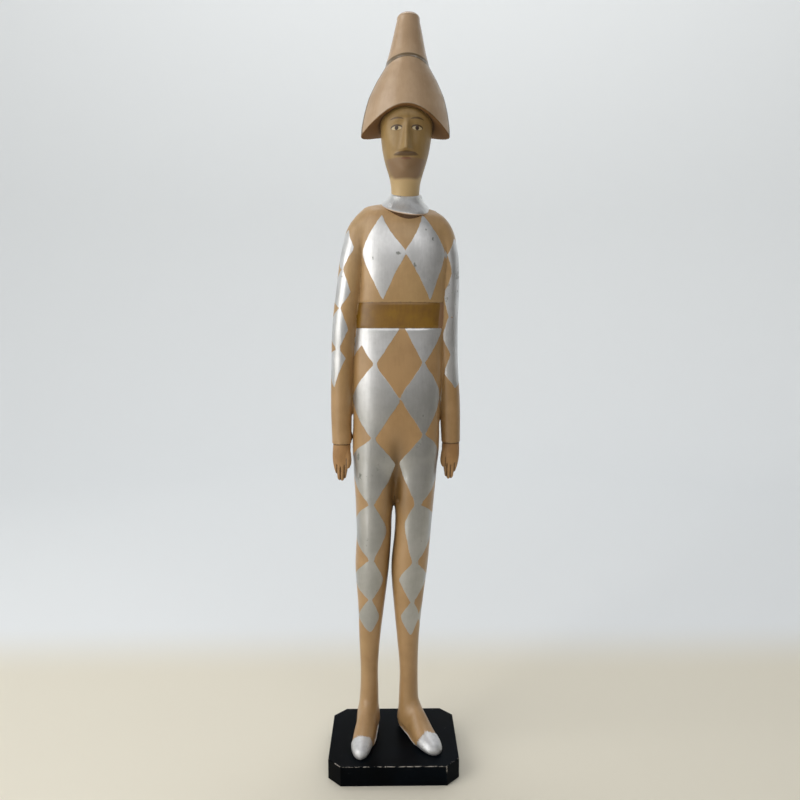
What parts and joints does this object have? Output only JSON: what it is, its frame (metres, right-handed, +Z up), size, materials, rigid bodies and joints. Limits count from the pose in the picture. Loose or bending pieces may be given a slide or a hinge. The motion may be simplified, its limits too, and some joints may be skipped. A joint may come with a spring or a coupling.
{
  "type": "carved harlequin figure on a plinth",
  "caption": "Slim painted wooden harlequin with arms at the sides and a tall flapped hat, standing on a thin black plinth with cut corners.",
  "frame": {"origin": "middle of the plinth's underside", "axes": "+Z up, the figure faces -Y, +X to the viewer's right"},
  "size_m": [0.1304, 0.102, 0.7238],
  "materials": {
    "painted_wood": "tan paint with silver diamonds, gold belt, beige hat and a satin varnish, lightly worn",
    "black_lacquer": "black gloss lacquer, chipped along its edges"
  },
  "bodies": {
    "root": {"figure": "painted_wood", "plinth": "black_lacquer"}
  },
  "joints": []
}
